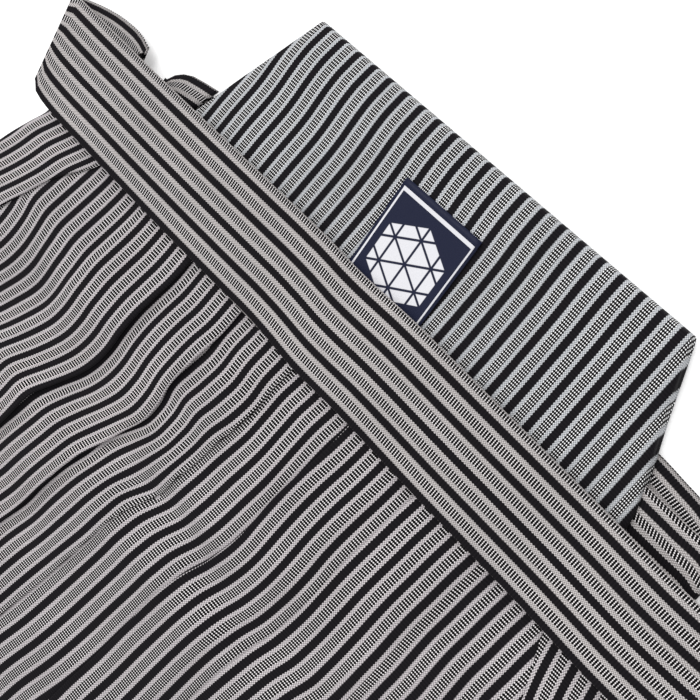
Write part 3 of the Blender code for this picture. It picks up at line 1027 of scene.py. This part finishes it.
def front_himo() -> Himo:
    """Lay the front himo: a return run on the left, the band, and the folded tail.

    Returns:
        The strap.
    """
    back_run = [
        (-20, 3.5, -20, 43, 5), (-62, 3.8, -60, 43.2, 5), (-96, 4.5, -96, 43, 5),
        (-104, 4.8, -113, 43.2, 4.6), (-109, 5, -122, 43.6, 4.2), (-112, 5, -126.3, 44.6, 4.0),
        (-115, 5.2, -123.6, 47.2, 3.8), (-118, 5.4, -121.4, 48.7, 3.6),
        (-121, 5.6, -125, 50.3, 3.5), (-136, 6, -138, 51.4, 3.4), (-148, 6.6, -150, 49.4, 3.6),
        (-156.2, 8.5, -160.6, 46.4, 4.2),
    ]
    band = [
        (-159.4, 8.6, -162.2, 44.2, 6), (-157.4, 6.0, -159.6, 46.0, 6),
        (-152.6, 4.6, -155, 46.2, 6), (-147, 4.1, -149, 46.1, 6), (-120, 3.7, -120, 45.8, 6),
        (-60, 3.8, -60, 46.1, 6), (-40, 4.2, -40, 46.3, 6), (-25, 4.7, -25, 46.6, 6.3),
        (-14, 4.1, -14, 46.4, 6.1), (-4, 3.2, -4, 45.9, 6), (24, 3.6, 24, 46.4, 6),
        (60, 3.2, 60, 46.0, 6), (110, 3.3, 110, 45.4, 6), (140, 2.8, 140, 44.8, 6),
    ]
    tail = tail_runs()
    band.append(tail[0][0])
    band.append(tail[0][1])
    ways = [-1] + [1 if level % 2 == 0 else -1 for level in range(TAIL_TOP, 0, -1)]
    return Himo([back_run, band] + tail[1:], first_stripe=1.4, pitch=8.85, fold_ways=ways)


# Down the board: minus the place along the garment, the place of the first stripe along the waist,
# and how far the stripes bow to the left between there and the last stripe
BOARD_STRIPES = np.array([
    (-101, -62.2, -1.7), (-97, -62.9, -1.6), (-94, -63.6, -1.5), (-90, -64.8, -1.25), (-84, -65.7, -0.85),
    (-78, -66.1, -0.5), (-72, -66.2, -0.55), (-66, -66.8, -0.5), (-60, -67.8, -0.35),
    (-54, -68.9, -0.15), (-49, -69.6, -0.2), (-18, -74, -0.2),
]).T

# How far the board's right side lies in from a straight one, at distances down from its top edge
RIGHT_INSET = ((0, 10, 24, 50, 56, 81), (0, 0.6, 1.5, 2.1, 3.6, 4.0))

# The rounded side of the board from its face down: how far each step drops and reaches out
RIM_STEPS = ((0.6, 0.45), (1.2, 0.15), (1.2, 0.0), (0.7, -0.15), (0.6, -0.5))


@dataclass
class BackBoard:
    """The koshi-ita: the striped cloth stretched over a stiff board with soft edges."""

    piece: Piece
    thickness: float = 5.2
    underside: float = 1.4
    height: float = 81.0
    top_half: float = 79.6
    base_half: float = 117.3
    centre: tuple[float, float] = (12.8, 99.0)
    turn: float = math.radians(0.6)
    rounding: float = 1.6
    inset_share: float = 0.35
    edge_drop: float = 0.9
    corner_reach: float = 1.5
    slant_reach: float = 4.0
    swell: float = 0.5
    swell_at: tuple[float, float] = (-74.0, 62.0)
    swell_reach: tuple[float, float] = (16.0, 14.0)
    last_stripe: float = 89.7
    repeats: int = 20
    spread: tuple[float, float] = (-0.08, 0.025)

    def stripe(self, x: float, y: float) -> float:
        """Find the place in the stripes' repeat of a point on the board.

        Args:
            x: the point's place along the waist.
            y: its place along the garment.

        Returns:
            How many repeats it lies from the first stripe.
        """
        downs, lefts, bows = BOARD_STRIPES
        left = float(np.interp(-y, downs, lefts))
        share = (x - left) / (self.last_stripe - left)
        bow = float(np.interp(-y, downs, bows)) * math.sin(math.pi * min(max(share, 0), 1))
        share += max(-share, 0) * self.spread[0] - max(share - 1, 0) * self.spread[1]
        return (share - bow / (self.last_stripe - left)) * self.repeats

    def build(self) -> None:
        """Make the covered board."""
        board = bmesh.new()
        columns, rows = 64, 26
        bmesh.ops.create_grid(board, x_segments=columns, y_segments=rows, size=1.0)
        for vert in board.verts:
            down = (1 - vert.co.y) / 2 * self.height
            half = self.top_half + (self.base_half - self.top_half) * down / self.height
            if vert.co.x > 0:
                half -= float(np.interp(down, *RIGHT_INSET))
            inset = self.rounding * self.inset_share
            x = vert.co.x * (half - inset)
            near = min(half - abs(x), down + inset, self.height - down + inset)
            corner = max(0.0, 1 - near / self.rounding) ** 2
            z = self.underside + self.thickness - corner * self.edge_drop
            y = -down - (inset if down == 0 else 0) + (inset if down == self.height else 0)
            vert.co = (x, y, z)
        rim = [edge for edge in board.edges if edge.is_boundary]
        for drop, out in RIM_STEPS:
            grown = bmesh.ops.extrude_edge_only(board, edges=rim)["geom"]
            rim = [part for part in grown if isinstance(part, bmesh.types.BMEdge) and part.is_boundary]
            for vert in (part for part in grown if isinstance(part, bmesh.types.BMVert)):
                away = Vector((0, 0, -drop))
                if abs(vert.co.x) > self.top_half - self.slant_reach:
                    away.x = math.copysign(out, vert.co.x)
                if vert.co.y > -self.corner_reach:
                    away.y += out
                if vert.co.y < -self.height + self.corner_reach:
                    away.y -= out
                vert.co += away
        bmesh.ops.holes_fill(board, edges=rim, sides=0)
        bmesh.ops.recalc_face_normals(board, faces=board.faces)
        turn = Matrix.Rotation(self.turn, 3, "Z")
        bmesh.ops.rotate(board, cent=(0, 0, 0), matrix=turn, verts=board.verts)
        bmesh.ops.translate(board, vec=(*self.centre, 0), verts=board.verts)
        layer = board.loops.layers.uv.new("weave")
        for face in board.faces:
            for loop in face.loops:
                x, y, z = loop.vert.co
                loop[layer].uv = (self.stripe(x, y), -y + z)
        for vert in board.verts:
            away = [(vert.co[axis] - self.swell_at[axis]) / self.swell_reach[axis] for axis in (0, 1)]
            if vert.co.z > self.underside + self.thickness / 2:
                vert.co.z += self.swell * math.exp(-(away[0] ** 2 + away[1] ** 2))
        bmesh.ops.translate(board, vec=(-ORIGIN[0], -ORIGIN[1], 0), verts=board.verts)
        bmesh.ops.scale(board, vec=(MM, MM, MM), verts=board.verts)
        self.piece.dress(add_object(board, self.piece.name, self.piece.finish))


@dataclass
class WovenLabel:
    """The woven label on the board's inside, its top edge hemmed and sewn down."""

    piece: Piece
    board: str
    width: float = 33.6
    length: float = 47.0
    top: tuple[float, float] = (9.2, 79.2)
    turn: float = math.radians(1.0)
    level: float = 7.0
    wall: float = 0.45
    hem_high: float = 0.35
    hem_down: float = 1.6
    hem_reach: float = 0.9
    curl_high: float = 0.25
    curl_reach: float = 1.5
    motif_down: float = 22.2

    def build(self) -> None:
        """Make the label."""
        x, y = np.meshgrid(np.linspace(-0.5, 0.5, 15) * self.width, -np.linspace(0, self.length, 30))
        hem = self.hem_high * np.exp(-((y + self.hem_down) / self.hem_reach) ** 2)
        curl = self.curl_high * np.exp(-((self.width / 2 - np.abs(x)) / self.curl_reach) ** 2)
        turned_x = self.top[0] + x * math.cos(self.turn) - y * math.sin(self.turn)
        turned_y = self.top[1] + x * math.sin(self.turn) + y * math.cos(self.turn)
        places = np.stack([turned_x, turned_y, self.level + hem + curl], axis=2)
        weave = np.stack([x, y + self.motif_down], axis=2)
        item = Cloth(places, weave).make(self.piece, self.wall)


@dataclass
class Studio:
    """The plain pale floor, soft light from the head of the garment, and the photograph's camera.

    eye is the camera's place in the garment's millimetres, right and up are its axes, and aim is
    where the lights point, in metres.
    """

    eye: tuple[float, float, float] = (135.93, 160.35, 322.51)
    right: tuple[float, float, float] = (0.6616, 0.5562, -0.5029)
    up: tuple[float, float, float] = (-0.6693, 0.7404, -0.0616)
    focal: float = 56.57
    aim: tuple[float, float, float] = (0.0, 0.38, 0.0)
    room: float = 0.52
    floor: str = "#f1f1f1"
    floor_glow: float = 0.31

    def build(self) -> None:
        """Make the floor, the lights and the camera."""
        self.add_floor()
        self.add_light("soft_key", (-0.75, 1.25, 1.3), 1.4, 25.0)
        self.add_light("soft_fill", (0.9, -0.2, 1.5), 1.8, 9.5)
        self.add_world()
        self.add_camera()

    def add_floor(self) -> None:
        """Lay a wide matt white surface under the garment."""
        floor = bmesh.new()
        bmesh.ops.create_grid(floor, x_segments=1, y_segments=1, size=3.0)
        bmesh.ops.translate(floor, vec=(0, 0, -0.0002), verts=floor.verts)
        material, tree, shader = start_material(
            "matt_white_card", Base_Color=linear(self.floor), Roughness=0.9,
            Emission_Color=linear("#ffffff"), Emission_Strength=self.floor_glow)
        grain = add_node(tree, "TexNoise", {"Scale": 900.0, "Detail": 2.0})
        bump = add_node(tree, "Bump", {"Strength": 0.05, "Distance": 0.0002, "Height": grain})
        tree.links.new(bump.outputs[0], shader.inputs["Normal"])
        add_object(floor, "surface", material)

    def add_light(self, name: str, place: tuple[float, float, float], size: float, power: float) -> None:
        """Hang a square soft light that points at the garment's waist.

        Args:
            name: the light's name.
            place: where it hangs, in metres.
            size: its side in metres.
            power: its power in watts.
        """
        lamp = bpy.data.lights.new(name, "AREA")
        lamp.size = size
        lamp.energy = power
        item = bpy.data.objects.new(name, lamp)
        item.location = place
        aim = Vector(self.aim) - Vector(place)
        item.rotation_euler = aim.to_track_quat("-Z", "Y").to_euler()
        bpy.context.scene.collection.objects.link(item)

    def add_world(self) -> None:
        """Surround the scene with even white light."""
        world = bpy.data.worlds.new("white_room")
        world.use_nodes = True
        background = world.node_tree.nodes["Background"]
        background.inputs["Color"].default_value = linear("#ffffff")
        background.inputs["Strength"].default_value = self.room
        bpy.context.scene.world = world
        bpy.context.scene.view_settings.view_transform = "Standard"

    def add_camera(self) -> None:
        """Set the camera as it stood for the photograph."""
        lens = bpy.data.cameras.new("camera")
        lens.lens = self.focal
        lens.sensor_width = 36.0
        lens.clip_start = 0.01
        lens.clip_end = 20.0
        camera = bpy.data.objects.new("camera", lens)
        right, up = Vector(self.right).normalized(), Vector(self.up).normalized()
        back = right.cross(up)
        turn = Matrix((right, up, back)).transposed()
        place = (Vector(self.eye) - Vector((*ORIGIN, 0))) * MM
        camera.matrix_world = Matrix.Translation(place) @ turn.to_4x4()
        bpy.context.scene.collection.objects.link(camera)
        bpy.context.scene.camera = camera


def back_himo_left() -> Himo:
    """Lay the left back himo: a stub at the board's side and its run under the board.

    Returns:
        The strap.
    """
    over = [
        (-104.6, 20, -88.4, 55.3, 2), (-108.5, 20, -97, 53.8, 2), (-110.8, 20, -103, 52.2, 2),
        (-111.9, 20, -107.4, 49.2, 2), (-112.4, 20, -110.2, 45.2, 2),
    ]
    under = [
        (-112.4, 20.2, -110, 44, 0), (-108, 20.4, -103, 47.5, 0), (-96, 21, -92, 51.5, 0),
        (-60, 22, -60, 55, 0), (0, 22, 0, 55, 0),
    ]
    return Himo([over, under], first_stripe=6.9, back_stripe=6.9, pitch=8.4, back_pitch=8.4, cut_width=34.0,
                fold_ways=[-1], along=2.0, fanned=True)


def back_himo_right() -> Himo:
    """Lay the right back himo: a stub at the board's side and its run under the board.

    Returns:
        The strap.
    """
    over = [
        (123.5, 22, 106.8, 58.1, 2), (134, 22, 125, 57.8, 2), (139.6, 22, 137, 57.4, 2),
        (141.6, 22, 140.4, 56, 2),
    ]
    under = [
        (141.8, 23, 140.6, 57.6, 0), (133, 27, 131, 63.8, 0), (118, 30, 116, 66.2, 0),
        (90, 31, 90, 67, 0), (30, 31, 30, 67, 0),
    ]
    return Himo([over, under], first_stripe=5.6, back_stripe=7.9, pitch=8.4, back_pitch=8.4, cut_width=36.0,
                fold_ways=[1], along=2.0, fanned=True)


def main() -> None:
    """Build the studio and the hakama piece by piece."""
    logging.basicConfig(level=logging.INFO, format="%(name)s: %(message)s")
    Studio().build()
    striped = StripedWeave("striped_hakama_cloth").make()
    board_cloth = StripedWeave("striped_board_cloth", rope="#d4d6d9", rope_shade="#777a7f",
                               dot_light="#fdfefe", dot_limit=0.34, column_share=0.5, row=1.06).make()
    himo_cloth = StripedWeave("striped_himo_cloth", rope="#d4cfce", rope_shade="#6b6665", dot_limit=0.29,
                              black_half=0.152, rope_end=0.338, column=0.081, column_share=0.26,
                              row=1.06).make()
    sides = ((True, "left"), (False, "right"))
    for left, side in sides:
        BackPanel(Piece(BACK_NAMES[left], f"back_{side}", Slot.STRIPED, striped), left).build()
    for left, side in sides:
        front = Piece(f"front_{side}_cloth", f"front_{side}", Slot.STRIPED, striped)
        leaf = Piece(f"side_fold_{side}_cloth", f"side_fold_{side}", Slot.STRIPED, striped)
        FrontPanel(front, left).build()
        SideLeaf(leaf, left, front.name).build()
    board = Piece("covered_back_board", "koshi_ita", Slot.BOARD, board_cloth)
    BackBoard(board).build()
    label = Piece("woven_label", "label", Slot.LABEL, LabelWeave().make())
    WovenLabel(label, board.name).build()
    fronts = ["front_left_cloth", "front_right_cloth"]
    for name, himo, carriers in (("back_himo_left", back_himo_left(), [board.name]),
                                 ("back_himo_right", back_himo_right(), [board.name]),
                                 ("front_himo", front_himo(), fronts)):
        himo.build(Piece(name + "_band", name, Slot.HIMO, himo_cloth), carriers)


if __name__ == "__main__":
    main()
